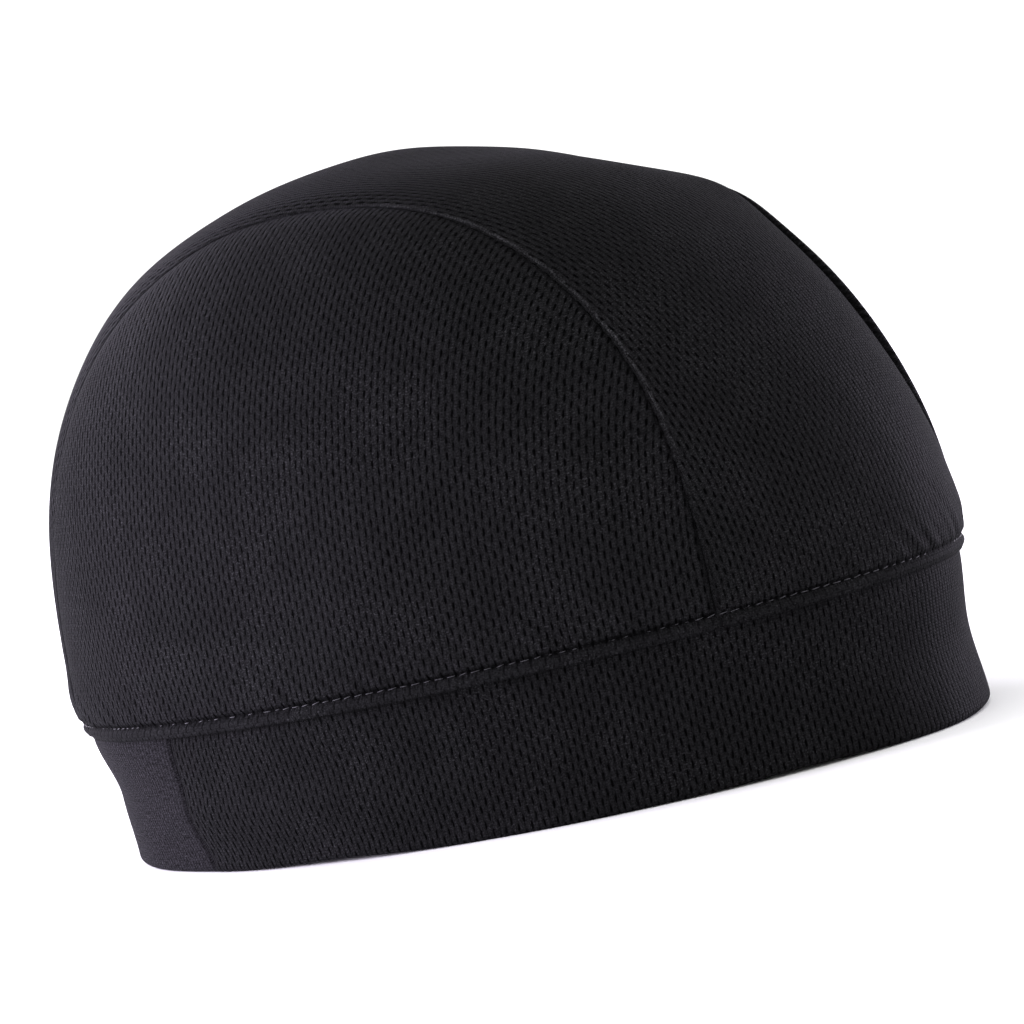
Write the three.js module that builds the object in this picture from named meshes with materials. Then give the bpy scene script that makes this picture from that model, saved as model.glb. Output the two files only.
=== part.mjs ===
// Cycling skull cap: two side panels and a centre panel, sewn over a folded headband.
// Millimetres, +X towards the forehead, +Y towards the wearer's left, +Z up, hem on z = 0.
import * as THREE from 'three';
import { mergeVertices } from 'three/addons/utils/BufferGeometryUtils.js';

// Ring where the crown folds over the headband
const ringCentreX = 3.3;
const frontReach = 93.4;
const rearReach = 99.4;
const halfWidth = 76;
const ringPower = 1.84;
const ringHeight = 28.4;
const ringFrontRise = 1.4;
const riseFadeHeight = 35;

// Crown: reach from the ring's centre along the middle of the cap, by turn from front to nape
const domePower = 2.55;
const crownProfile = [
  { turn: 0, reach: frontReach },
  { turn: 12, reach: 93.7 },
  { turn: 30, reach: 93.4 },
  { turn: 50, reach: 94.3 },
  { turn: 70, reach: 94.9 },
  { turn: 90, reach: 96.1 },
  { turn: 110, reach: 101 },
  { turn: 130, reach: 104.6 },
  { turn: 150, reach: 103.9 },
  { turn: 168, reach: 101.9 },
  { turn: 180, reach: rearReach },
];
// The seams lie this far from the middle of the cap; the left one lies nearer to it over the forehead
const rightSeam = [
  { turn: 0, half: 43.4 },
  { turn: 45, half: 38.6 },
  { turn: 90, half: 34.1 },
  { turn: 135, half: 43 },
  { turn: 180, half: 43.5 },
];
const leftSeam = [
  { turn: 0, half: 36 },
  { turn: 20, half: 30.5 },
  { turn: 40, half: 29.5 },
  { turn: 60, half: 31.5 },
  { turn: 90, half: 34.1 },
  { turn: 135, half: 43 },
  { turn: 180, half: 43.5 },
];
const crownWall = 1.3;
const seamGap = 0.3;

// Soft dents and swells of the crown: where, how wide and how deep (a swell is less than zero)
const dents = [
  { x: 30.5, y: 24, z: 117, spread: 14, depth: 1.9 },
  { x: 52.5, y: 30, z: 105, spread: 10, depth: -1.4 },
  { x: -6.5, y: 9, z: 125, spread: 16, depth: -1.5 },
  { x: 75.5, y: -50, z: 55, spread: 12, depth: 1.5 },
];

// Headband: inset of its outer face from the ring, at its top, middle and hem, by angle from the front
const bandWall = 2.6;
const bandTuck = 3;
const bandInset = [
  { angle: 0, top: 1.6, middle: 3.4, hem: 0.9 },
  { angle: 90, top: 1.6, middle: 4.0, hem: 6.6 },
  { angle: 180, top: 1.6, middle: 5.2, hem: 5.2 },
];
const bandTopDrop = 1;
const elasticHalfAngle = 63;

// Rounded corner of the hem: how far in from the headband's face, and how high
const hemCorner = [
  { inwards: 0, z: 2.4 },
  { inwards: 0.08, z: 0.8 },
  { inwards: 0.8, z: 0 },
];

// Mesh density
const seamColumns = 44;
const panelRows = 13;
const centreColumns = 12;
const bandSteps = 72;
const elasticSteps = 38;

// Steps used to measure the slope of the dome and of the ring
const slopeStep = 0.05;
const angleStep = 0.5;

const radians = THREE.MathUtils.degToRad;

// Smooth curve through a table's rows, level at both ends
function tableCurve(table, key, column) {
  const slope = table.map((row, i) => {
    if (i === 0 || i === table.length - 1) return 0;
    return (table[i + 1][column] - table[i - 1][column]) / (table[i + 1][key] - table[i - 1][key]);
  });
  return (at) => {
    let i = 0;
    while (i < table.length - 2 && at > table[i + 1][key]) i += 1;
    const span = table[i + 1][key] - table[i][key];
    const u = (at - table[i][key]) / span;
    const rise = table[i + 1][column] - table[i][column];
    const start = span * slope[i];
    const end = span * slope[i + 1];
    return table[i][column] + u * (start + u * (3 * rise - 2 * start - end + u * (start + end - 2 * rise)));
  };
}

const reachAt = tableCurve(crownProfile, 'turn', 'reach');
const seamHalfAt = {
  right: tableCurve(rightSeam, 'turn', 'half'),
  left: tableCurve(leftSeam, 'turn', 'half'),
};
const insetAt = {
  top: tableCurve(bandInset, 'angle', 'top'),
  middle: tableCurve(bandInset, 'angle', 'middle'),
  hem: tableCurve(bandInset, 'angle', 'hem'),
};

function domePowerAt(turn) {
  return ringPower + (domePower - ringPower) * Math.sin(radians(turn)) ** 2;
}

function ringHeightAt(x) {
  return ringHeight + ringFrontRise * (x - ringCentreX) / frontReach;
}

// Point of the plain dome; share is 0 at the middle of a side's lower edge and 1 on the middle line
function domePoint(turn, share, side) {
  const power = domePowerAt(turn);
  const reach = reachAt(turn) * share;
  const x = ringCentreX + reach * Math.cos(radians(turn));
  const up = reach * Math.sin(radians(turn));
  const y = side * halfWidth * Math.max(0, 1 - share ** power) ** (1 / power);
  const level = ringHeight + (ringHeightAt(x) - ringHeight) * Math.exp(-up / riseFadeHeight);
  return new THREE.Vector3(x, y, level + up);
}

// How far a point lies outside the dome, as a share; its slope gives the dome's outward direction
function domeMeasure(x, y, z) {
  const up = Math.max(z - ringHeightAt(x), 0);
  const along = x - ringCentreX;
  const turn = THREE.MathUtils.radToDeg(Math.atan2(up, along));
  const power = domePowerAt(turn);
  const share = Math.hypot(along, up) / reachAt(turn);
  return (Math.abs(y) / halfWidth) ** power + share ** power;
}

function domeOutward(point) {
  const step = slopeStep;
  const { x, y, z } = point;
  const atRing = z - ringHeightAt(x) < 2 * step;
  return new THREE.Vector3(
    domeMeasure(x + step, y, z) - domeMeasure(x - step, y, z),
    domeMeasure(x, y + step, z) - domeMeasure(x, y - step, z),
    atRing ? 0 : domeMeasure(x, y, z + step) - domeMeasure(x, y, z - step),
  ).normalize();
}

// Dome point moved inwards by depth, with the dents pressed in
function crownPoint(turn, share, side, depth) {
  const point = domePoint(turn, share, side);
  let inward = depth;
  for (const dent of dents) {
    const away = point.distanceTo(new THREE.Vector3(dent.x, dent.y, dent.z));
    inward += dent.depth * Math.exp(-((away / dent.spread) ** 2));
  }
  return point.addScaledVector(domeOutward(point), -inward);
}

// Distance of a seam from the middle of the cap; side is 1 on the left and -1 on the right
function halfAt(turn, side) {
  return side > 0 ? seamHalfAt.left(turn) : seamHalfAt.right(turn);
}

// Share at which a panel edge lies, a little off the seam line
function seamShare(turn, offset, side) {
  const power = domePowerAt(turn);
  return (1 - ((halfAt(turn, side) + offset) / halfWidth) ** power) ** (1 / power);
}

// Closed mesh between two matching grids of points, the outer one seen from outside in rows then columns
function shellBetween(outer, inner) {
  const places = [];
  const same = (a, b) => a.distanceTo(b) < 1e-3;
  const triangle = (a, b, c) => {
    if (same(a, b) || same(b, c) || same(c, a)) return;
    places.push(...a.toArray(), ...b.toArray(), ...c.toArray());
  };
  const quad = (a, b, c, d) => {
    triangle(a, b, c);
    triangle(a, c, d);
  };
  const rows = outer.length - 1;
  const columns = outer[0].length - 1;
  for (let i = 0; i < rows; i += 1) {
    for (let j = 0; j < columns; j += 1) {
      quad(outer[i][j], outer[i][j + 1], outer[i + 1][j + 1], outer[i + 1][j]);
      quad(inner[i][j], inner[i + 1][j], inner[i + 1][j + 1], inner[i][j + 1]);
    }
  }
  for (let j = 0; j < columns; j += 1) {
    quad(outer[0][j], inner[0][j], inner[0][j + 1], outer[0][j + 1]);
    quad(outer[rows][j], outer[rows][j + 1], inner[rows][j + 1], inner[rows][j]);
  }
  for (let i = 0; i < rows; i += 1) {
    quad(outer[i][0], outer[i + 1][0], inner[i + 1][0], inner[i][0]);
    quad(outer[i][columns], inner[i][columns], inner[i + 1][columns], outer[i + 1][columns]);
  }
  const geometry = new THREE.BufferGeometry();
  geometry.setAttribute('position', new THREE.Float32BufferAttribute(places, 3));
  return mergeVertices(geometry, 1e-3);
}

// Side panel: columns run from its lower edge up to the seam, from the front corner to the rear one
function sidePanel(side) {
  const frontShare = seamShare(0, seamGap / 2, side);
  const rearShare = seamShare(180, seamGap / 2, side);
  const grid = (depth) => {
    const rows = [];
    for (let i = 0; i <= panelRows; i += 1) {
      const climb = i / panelRows;
      const row = [];
      for (let j = 0; j <= seamColumns; j += 1) {
        const turn = 180 * j / seamColumns;
        const share = seamShare(turn, seamGap / 2, side);
        const lower = THREE.MathUtils.lerp(frontShare, -rearShare, j / seamColumns);
        const along = THREE.MathUtils.lerp(lower, share * Math.cos(radians(turn)), climb);
        const up = climb * share * Math.sin(radians(turn));
        const at = THREE.MathUtils.radToDeg(Math.atan2(up, along));
        row.push(crownPoint(at, Math.hypot(along, up), side, depth));
      }
      rows.push(side > 0 ? row : row.reverse());
    }
    return rows;
  };
  return shellBetween(grid(0), grid(crownWall));
}

// Centre panel: a strip from the forehead over the top to the nape
function centrePanel() {
  const grid = (depth) => {
    const rows = [];
    for (let i = 0; i <= seamColumns; i += 1) {
      const turn = 180 * i / seamColumns;
      const power = domePowerAt(turn);
      const row = [];
      for (let j = 0; j <= centreColumns; j += 1) {
        const across = 2 * j / centreColumns - 1;
        const side = across < 0 ? -1 : 1;
        const out = Math.abs(across) * (halfAt(turn, side) - seamGap / 2);
        const share = (1 - (out / halfWidth) ** power) ** (1 / power);
        row.push(crownPoint(turn, share, side, depth));
      }
      rows.push(row);
    }
    return rows;
  };
  return shellBetween(grid(0), grid(crownWall));
}

// Point of the ring, moved inwards by inset, at an angle from the front (left side first)
function ringPoint(angle, inset) {
  const place = (at) => {
    const c = Math.cos(radians(at));
    const s = Math.sin(radians(at));
    const reach = c > 0 ? frontReach : rearReach;
    const x = ringCentreX + reach * Math.sign(c) * Math.abs(c) ** (2 / ringPower);
    return new THREE.Vector2(x, halfWidth * Math.sign(s) * Math.abs(s) ** (2 / ringPower));
  };
  const here = place(angle);
  const along = place(angle + angleStep).sub(place(angle - angleStep)).normalize();
  return new THREE.Vector2(here.x - along.y * inset, here.y + along.x * inset);
}

// Cross-section of the headband at an angle: down the outer face, round the hem and up the inner face
function bandSection(angle) {
  const fold = angle > 180 ? 360 - angle : angle;
  const [top, middle, hem] = ['top', 'middle', 'hem'].map((key) => insetAt[key](fold));
  const height = ringHeightAt(ringPoint(angle, 0).x);
  const face = [
    { inset: top, z: height + bandTuck },
    { inset: top, z: height - bandTopDrop },
    { inset: (top + middle) / 2, z: 0.75 * height },
    { inset: middle, z: 0.5 * height },
  ];
  const outer = [...face, ...hemCorner.map(({ inwards, z }) => ({ inset: hem + inwards, z }))];
  const inner = [
    ...face.map(({ inset, z }) => ({ inset: inset + bandWall, z })),
    ...hemCorner.map(({ inwards, z }) => ({ inset: hem + bandWall - inwards, z })),
  ];
  return [...outer, ...inner.reverse()].map((corner) => {
    const plan = ringPoint(angle, corner.inset);
    return new THREE.Vector3(plan.x, plan.y, corner.z);
  });
}

// Length of headband swept from one angle to another, closed at both ends
function bandPiece(fromAngle, toAngle, steps) {
  const sections = [];
  for (let i = 0; i <= steps; i += 1) {
    const angle = THREE.MathUtils.lerp(fromAngle, toAngle, i / steps);
    sections.push(bandSection((angle + 360) % 360));
  }
  const places = [];
  const triangle = (a, b, c) => places.push(...a.toArray(), ...b.toArray(), ...c.toArray());
  const around = sections[0].length;
  for (let i = 0; i < steps; i += 1) {
    for (let k = 0; k < around; k += 1) {
      const next = (k + 1) % around;
      triangle(sections[i][k], sections[i][next], sections[i + 1][next]);
      triangle(sections[i][k], sections[i + 1][next], sections[i + 1][k]);
    }
  }
  for (let k = 0; k < around / 2 - 1; k += 1) {
    const mate = around - 1 - k;
    const [first, last] = [sections[0], sections[steps]];
    triangle(first[k], first[mate], first[mate - 1]);
    triangle(first[k], first[mate - 1], first[k + 1]);
    triangle(last[k], last[mate - 1], last[mate]);
    triangle(last[k], last[k + 1], last[mate - 1]);
  }
  const geometry = new THREE.BufferGeometry();
  geometry.setAttribute('position', new THREE.Float32BufferAttribute(places, 3));
  return mergeVertices(geometry, 1e-3);
}

function cloth(colour, roughness) {
  return new THREE.MeshStandardMaterial({ color: colour, roughness, metalness: 0 });
}

function named(name, geometry, material) {
  const mesh = new THREE.Mesh(geometry, material);
  mesh.name = name;
  geometry.computeVertexNormals();
  return mesh;
}

const gapAngle = THREE.MathUtils.radToDeg(seamGap / 2 / halfWidth);
const elasticStart = 180 - elasticHalfAngle;
const cap = new THREE.Group();
cap.add(
  named('centre_panel', centrePanel(), cloth(0x24242a, 0.9)),
  named('side_panel_left', sidePanel(1), cloth(0x222228, 0.9)),
  named('side_panel_right', sidePanel(-1), cloth(0x222228, 0.9)),
  named('headband', bandPiece(gapAngle - elasticStart, elasticStart - gapAngle, bandSteps),
    cloth(0x202026, 0.9)),
  named('rear_elastic', bandPiece(elasticStart + gapAngle, 360 - elasticStart - gapAngle, elasticSteps),
    cloth(0x35343a, 0.85)),
);

export default cap;
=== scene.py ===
import math
import bpy
import bmesh
import numpy as np
from mathutils import Matrix, Vector


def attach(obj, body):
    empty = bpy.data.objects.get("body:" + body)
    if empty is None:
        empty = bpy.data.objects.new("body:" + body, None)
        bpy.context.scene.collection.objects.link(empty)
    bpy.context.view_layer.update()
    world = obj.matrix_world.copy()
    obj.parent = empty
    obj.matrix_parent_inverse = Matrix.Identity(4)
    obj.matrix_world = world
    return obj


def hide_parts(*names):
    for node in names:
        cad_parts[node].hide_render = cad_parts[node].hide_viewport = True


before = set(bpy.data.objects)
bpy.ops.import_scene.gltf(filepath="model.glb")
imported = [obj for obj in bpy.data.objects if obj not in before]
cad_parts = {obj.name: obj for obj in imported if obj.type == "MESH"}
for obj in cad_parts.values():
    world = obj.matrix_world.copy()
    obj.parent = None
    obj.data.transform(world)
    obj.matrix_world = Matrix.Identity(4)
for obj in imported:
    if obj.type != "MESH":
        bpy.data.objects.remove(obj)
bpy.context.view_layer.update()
scene = bpy.context.scene
print("frame loaded")

# The cap's own form, in millimetres: the ring where the crown folds over the headband, and the dome above it
capForm = {
    "ringCentreX": 3.3,
    "frontReach": 93.4,
    "rearReach": 99.4,
    "halfWidth": 76.0,
    "ringPower": 1.84,
    "domePower": 2.55,
    "ringHeight": 28.4,
    "ringFrontRise": 1.4,
    "riseFadeHeight": 35.0,
    # turn goes from the front, 0, over the top to the nape, 180
    "turns": [0, 12, 30, 50, 70, 90, 110, 130, 150, 168, 180],
    "reaches": [93.4, 93.7, 93.4, 94.3, 94.9, 96.1, 101, 104.6, 103.9, 101.9, 99.4],
    "rightSeamTurns": [0, 45, 90, 135, 180],
    "rightSeamHalf": [43.4, 38.6, 34.1, 43, 43.5],
    "leftSeamTurns": [0, 20, 40, 60, 90, 135, 180],
    "leftSeamHalf": [36, 30.5, 29.5, 31.5, 34.1, 43, 43.5],
    # place, spread and depth; a swell is less than zero
    "dents": [
        (30.5, 24, 117, 14, 1.9),
        (52.5, 30, 105, 10, -1.4),
        (-6.5, 9, 125, 16, -1.5),
        (75.5, -50, 55, 12, 1.5),
    ],
}


def smoothTable(keys, values):
    # smooth curve through a table, level at both ends
    keys = np.array(keys, float)
    values = np.array(values, float)
    slopes = np.zeros(len(keys))
    slopes[1:-1] = (values[2:] - values[:-2]) / (keys[2:] - keys[:-2])

    def curve(at):
        at = np.asarray(at, float)
        i = np.clip(np.searchsorted(keys, at) - 1, 0, len(keys) - 2)
        span = keys[i + 1] - keys[i]
        u = (at - keys[i]) / span
        rise = values[i + 1] - values[i]
        start = span * slopes[i]
        end = span * slopes[i + 1]
        return values[i] + u * (start + u * (3 * rise - 2 * start - end + u * (start + end - 2 * rise)))

    return curve


def bump(value, width):
    return np.exp(-((value / width) ** 2))


def smoothStep(value):
    value = np.clip(value, 0, 1)
    return value ** 2 * (3 - 2 * value)


def roundShare(share, power):
    # how far a rounded section reaches one way at a share of its reach the other way
    return np.maximum(0, 1 - np.abs(share) ** power) ** (1 / power)


reachAt = smoothTable(capForm["turns"], capForm["reaches"])
rightHalfAt = smoothTable(capForm["rightSeamTurns"], capForm["rightSeamHalf"])
leftHalfAt = smoothTable(capForm["leftSeamTurns"], capForm["leftSeamHalf"])


def seamHalfAt(turn, side):
    return np.where(np.asarray(side) > 0, leftHalfAt(turn), rightHalfAt(turn))


def domePowerAt(turn):
    rise = capForm["domePower"] - capForm["ringPower"]
    return capForm["ringPower"] + rise * np.sin(np.radians(turn)) ** 2


def ringHeightAt(x):
    forward = x - capForm["ringCentreX"]
    return capForm["ringHeight"] + capForm["ringFrontRise"] * forward / capForm["frontReach"]


def domePoint(turn, share, side):
    # share is 0 at the middle of a side's lower edge and 1 on the cap's middle line
    reach = reachAt(turn) * share
    x = capForm["ringCentreX"] + reach * np.cos(np.radians(turn))
    up = reach * np.sin(np.radians(turn))
    y = side * capForm["halfWidth"] * roundShare(share, domePowerAt(turn))
    fade = np.exp(-up / capForm["riseFadeHeight"])
    level = capForm["ringHeight"] + (ringHeightAt(x) - capForm["ringHeight"]) * fade
    return np.stack([x, y, level + up], -1)


def domeMeasure(p):
    up = np.maximum(p[..., 2] - ringHeightAt(p[..., 0]), 0)
    along = p[..., 0] - capForm["ringCentreX"]
    turn = np.degrees(np.arctan2(up, along))
    power = domePowerAt(turn)
    share = np.hypot(along, up) / reachAt(turn)
    return (np.abs(p[..., 1]) / capForm["halfWidth"]) ** power + share ** power


def domeOutward(p):
    step = 0.05
    slope = np.empty_like(p)
    for axis in range(3):
        move = np.zeros(3)
        move[axis] = step
        slope[..., axis] = domeMeasure(p + move) - domeMeasure(p - move)
    atRing = p[..., 2] - ringHeightAt(p[..., 0]) < 2 * step
    slope[..., 2] = np.where(atRing, 0, slope[..., 2])
    return slope / np.linalg.norm(slope, axis=-1, keepdims=True)


def dentDepth(p):
    total = np.zeros(p.shape[:-1])
    for x, y, z, spread, depth in capForm["dents"]:
        away = np.sqrt(((p - (x, y, z)) ** 2).sum(-1))
        total = total + depth * bump(away, spread)
    return total


def seamShareAt(turn, side):
    return roundShare(seamHalfAt(turn, side) / capForm["halfWidth"], domePowerAt(turn))


def ringPoint(angle, inset):
    # angle from the front in degrees, left side first
    def place(at):
        c = np.cos(np.radians(at))
        s = np.sin(np.radians(at))
        reach = np.where(c > 0, capForm["frontReach"], capForm["rearReach"])
        x = capForm["ringCentreX"] + reach * np.sign(c) * np.abs(c) ** (2 / capForm["ringPower"])
        y = capForm["halfWidth"] * np.sign(s) * np.abs(s) ** (2 / capForm["ringPower"])
        return np.stack([x, y], -1)

    here = place(angle)
    along = place(angle + 0.5) - place(angle - 0.5)
    along = along / np.linalg.norm(along, axis=-1, keepdims=True)
    inward = np.stack([-along[..., 1], along[..., 0]], -1)
    return here + inward * np.asarray(inset)[..., None]


# Distance along the ring from the front, in millimetres, for placing stitches and puckers
ringAngles = np.linspace(0, 360, 3601)
ringPlan = ringPoint(ringAngles, 0 * ringAngles)
ringSteps = np.linalg.norm(np.diff(ringPlan, axis=0), axis=1)
ringLengths = np.concatenate([[0], np.cumsum(ringSteps)])
ringBearings = np.unwrap(np.arctan2(ringPlan[:, 1], ringPlan[:, 0] - capForm["ringCentreX"]))


def ringLengthAt(p):
    bearing = np.arctan2(p[..., 1], p[..., 0] - capForm["ringCentreX"]) % (2 * np.pi)
    return np.interp(bearing, ringBearings, ringLengths)


def spacing(total, near, far, reachIn):
    # shares from 0 to 1, in steps of size near within reachIn of both ends and of size far between
    fine = np.arange(0, reachIn, near)
    middle = np.linspace(reachIn, total - reachIn, max(2, int((total - 2 * reachIn) / far)))
    return np.concatenate([fine, middle, total - fine[::-1]]) / total


def runLength(points):
    steps = np.linalg.norm(np.diff(points, axis=0), axis=1)
    return np.concatenate([[0], np.cumsum(steps)])


# How the crown is sewn, in millimetres: folded lower edge, row of topstitching, seams between its panels
sewing = {
    "clothThickness": 0.55,
    "foldRadius": 0.8,
    "foldUnder": 2.2,
    # rows of the fold: 0 on the face, 1 behind the edge, past 1 up the back of it
    "foldRows": [1.9, 1.4, 1, 0.82, 0.66, 0.5, 0.34, 0.18, 0.0],
    "turnIn": 1.3,
    "rollSwell": 0.35,
    "rollHeight": 1.3,
    "rollWidth": 1.0,
    "stitchHeight": 2.5,
    "stitchPitch": 2.35,
    "stitchSink": 0.7,
    "stitchSinkWidth": 0.7,
    "pinchDepth": 0.24,
    "pinchHeight": 0.1,
    "pinchWidth": 0.9,
    "pinchStart": 0.2,
    "pinchClimb": 0.4,
    # puckers above the stitches: two waves that lean, the first one wandering
    "puckerDepth": 0.32,
    "puckerClimb": 1.2,
    "puckerReach": 5.5,
    "puckerLean": 0.9,
    "puckerPitch": 5.3,
    "puckerShare": 0.55,
    "puckerWander": 1.1,
    "puckerWanderLength": 19,
    "secondPitch": 7.9,
    "secondShare": 0.45,
    "secondStart": 2,
    # place, spread, how far the edge draws in, and the swell above it
    "drawnIn": [(-84, -38, 34, 1.3, 0.8), (93, 18, 36, 1.1, 0.6)],
    "drawnFade": 3.0,
    "drawnSwellHeight": 8,
    "drawnSwellWidth": 5,
    "drawnSinkLoss": 0.5,
    "seamValley": 0.55,
    "seamValleyWidth": 3.6,
    "seamDrop": 0.65,
    "seamDropWidth": 0.7,
    # the rolled edge stays full where a seam runs into it
    "rollTop": 1.5,
    "rollFade": 2,
    "centreDrop": 0.2,
    "centreDropWidth": 0.3,
    "shoulder": 0.5,
    "shoulderWidth": 3.0,
    # the left panel swells beside its seam over the forehead
    "farSwell": 1.5,
    "farSwellTurn": 34,
    "farSwellSpread": 26,
    "farSwellGap": 2.0,
    "farSwellWidth": 1.8,
    # the broad unevenness is calm near the lower edge and the seams
    "calmHeight": 12,
    "calmGap": 5,
}
stitchCount = int(round(ringLengths[-1] / sewing["stitchPitch"]))
stitchPitch = ringLengths[-1] / stitchCount

# Broad unevenness of the soft crown, and its creases beside the right seam and over the top
softness = {
    "broadDepth": 0.32,
    "broadX": 17,
    "broadSway": 0.6,
    "broadSwayZ": 21,
    "broadZ": 14,
    "broadStart": 1.3,
    "fineDepth": 0.22,
    "fineX": 9.3,
    "fineZ": 12.7,
    "fineY": 15,
    # place, spread, depth
    "creases": [
        (70, -45.5, 68, 7.0, 1.1),
        (78, -49, 46, 6.0, 1.0),
        (60, -42, 88, 6.0, 0.5),
        (20, -50, 96, 9.0, 0.4),
        (36, -46, 92, 7.0, -0.4),
    ],
}


def edgeRelief(height, length, x, y):
    # outward relief of the crown's lower edge, by height above the fold and length along the ring
    above = height - sewing["stitchHeight"]
    relief = sewing["rollSwell"] * bump(height - sewing["rollHeight"], sewing["rollWidth"])
    near = [bump(np.hypot(x - cx, y - cy), spread) for cx, cy, spread, tuck, swell in sewing["drawnIn"]]
    sink = sewing["stitchSink"] * (1 - sewing["drawnSinkLoss"] * np.clip(sum(near), 0, 1))
    relief = relief - sink * bump(above, sewing["stitchSinkWidth"])
    lean = (length + sewing["puckerLean"] * height) * 2 * np.pi
    wander = sewing["puckerWander"] * np.sin(length / sewing["puckerWanderLength"])
    waves = sewing["puckerShare"] * np.sin(lean / sewing["puckerPitch"] + wander)
    waves = waves + sewing["secondShare"] * np.sin(lean / sewing["secondPitch"] + sewing["secondStart"])
    climb = np.clip(above / sewing["puckerClimb"], 0, 1)
    fade = np.exp(-np.maximum(above, 0) / sewing["puckerReach"])
    relief = relief + sewing["puckerDepth"] * waves * climb * fade
    pinch = 0.5 + 0.5 * np.cos(length * 2 * np.pi / stitchPitch)
    pinch = pinch * np.clip((above + sewing["pinchStart"]) / sewing["pinchClimb"], 0, 1)
    relief = relief - sewing["pinchDepth"] * pinch * bump(above - sewing["pinchHeight"], sewing["pinchWidth"])
    # at the nape and the forehead the edge draws in, below a soft swell
    swellHere = bump(height - sewing["drawnSwellHeight"], sewing["drawnSwellWidth"])
    for share, (cx, cy, spread, tuck, swell) in zip(near, sewing["drawnIn"]):
        relief = relief - tuck * share * np.exp(-np.maximum(height, 0) / sewing["drawnFade"])
        relief = relief + swell * share * swellHere
    return relief


def softRelief(p):
    x, y, z = p[..., 0], p[..., 1], p[..., 2]
    sway = softness["broadSway"] * np.sin(z / softness["broadSwayZ"])
    broad = np.sin(x / softness["broadX"] + sway) * np.sin(z / softness["broadZ"] + softness["broadStart"])
    fine = np.sin(x / softness["fineX"] + z / softness["fineZ"] + y / softness["fineY"])
    relief = softness["broadDepth"] * broad + softness["fineDepth"] * fine
    for cx, cy, cz, spread, depth in softness["creases"]:
        away = np.sqrt((x - cx) ** 2 + (y - cy) ** 2 + (z - cz) ** 2)
        relief = relief - depth * bump(away, spread)
    return relief


def crownSheet(turn, share, side, fold, skirt, seamSide):
    # fold is -1 off the folded edge; skirt is how far a seam edge turns inwards
    base = domePoint(turn, share, side)
    outward = domeOutward(base)
    height = base[..., 2] - ringHeightAt(base[..., 0])
    length = ringLengthAt(base)
    gapUp = reachAt(turn) * (share - seamShareAt(turn, side))
    seamGap = np.hypot(np.abs(base[..., 1]) - seamHalfAt(turn, side), gapUp)
    relief = edgeRelief(height, length, base[..., 0], base[..., 1])
    calm = np.clip(height / sewing["calmHeight"], 0, 1) * np.clip(seamGap / sewing["calmGap"], 0, 1)
    relief = relief + softRelief(base) * calm
    if seamSide == "side":
        aboveRoll = np.clip((height - sewing["rollTop"]) / sewing["rollFade"], 0, 1)
        relief = relief - sewing["seamDrop"] * bump(seamGap, sewing["seamDropWidth"]) * aboveRoll
        relief = relief - sewing["seamValley"] * bump(seamGap, sewing["seamValleyWidth"])
        far = (np.asarray(side) > 0) * bump(turn - sewing["farSwellTurn"], sewing["farSwellSpread"])
        beside = bump(seamGap - sewing["farSwellGap"], sewing["farSwellWidth"])
        relief = relief + far * sewing["farSwell"] * beside
    else:
        relief = relief - sewing["centreDrop"] * bump(seamGap, sewing["centreDropWidth"])
        relief = relief - sewing["shoulder"] * bump(seamGap, sewing["shoulderWidth"])
    # rows of the fold go down round the edge and a little way up behind it
    radius = sewing["foldRadius"]
    bend = np.clip(fold, 0, 1) * np.pi
    under = np.maximum(fold - 1, 0) * sewing["foldUnder"]
    lift = np.where(fold > -1, radius - radius * np.sin(bend) + under, 0)
    tuck = np.where(fold > -1, radius - radius * np.cos(bend), 0)
    point = base + outward * (relief - dentDepth(base) - skirt - tuck)[..., None]
    point[..., 2] = point[..., 2] + lift
    return point, np.stack([seamGap, height], -1), np.stack([length, height], -1)


def clothObject(name, points, clothMm, seamMm, ringMm, closed=False):
    # a grid from rows and columns of points in millimetres, with the cloth's own lengths as UV
    rows, columns = points.shape[:2]
    bm = bmesh.new()
    bmesh.ops.create_grid(bm, x_segments=columns - 1, y_segments=rows - 1, size=1)
    mesh = bpy.data.meshes.new(name)
    bm.to_mesh(mesh)
    bm.free()
    co = np.empty(len(mesh.vertices) * 3)
    mesh.vertices.foreach_get("co", co)
    co = co.reshape(-1, 3)
    column = np.rint((co[:, 0] + 1) / 2 * (columns - 1)).astype(int)
    row = np.rint((co[:, 1] + 1) / 2 * (rows - 1)).astype(int)
    mesh.vertices.foreach_set("co", (points[row, column] / 1000).ravel())
    loopVert = np.empty(len(mesh.loops), int)
    mesh.loops.foreach_get("vertex_index", loopVert)
    for layerName, lengths in (("clothMm", clothMm), ("seamMm", seamMm), ("ringMm", ringMm)):
        layer = mesh.uv_layers.new(name=layerName)
        layer.data.foreach_set("uv", lengths[row[loopVert], column[loopVert]].ravel())
    mesh.update()
    bm = bmesh.new()
    bm.from_mesh(mesh)
    if closed:
        bmesh.ops.remove_doubles(bm, verts=bm.verts, dist=1e-6)
    return meshObject(name, mesh, bm)


def meshObject(name, mesh, bm):
    for face in bm.faces:
        face.smooth = True
    bm.to_mesh(mesh)
    bm.free()
    obj = bpy.data.objects.new(name, mesh)
    scene.collection.objects.link(obj)
    return obj


def thicken(obj, thickness):
    wall = obj.modifiers.new("cloth wall", "SOLIDIFY")
    wall.thickness = thickness / 1000
    wall.offset = -1
    wall.use_even_offset = False


# Side panels
sidePanel = {
    # total, fine step, coarse step, how far in the fine steps reach
    "lengthSteps": (165, 0.3, 0.75, 4),
    "heightSteps": (100, 0.3, 0.8, 9),
    "cornerTurn": 42,
}


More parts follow.
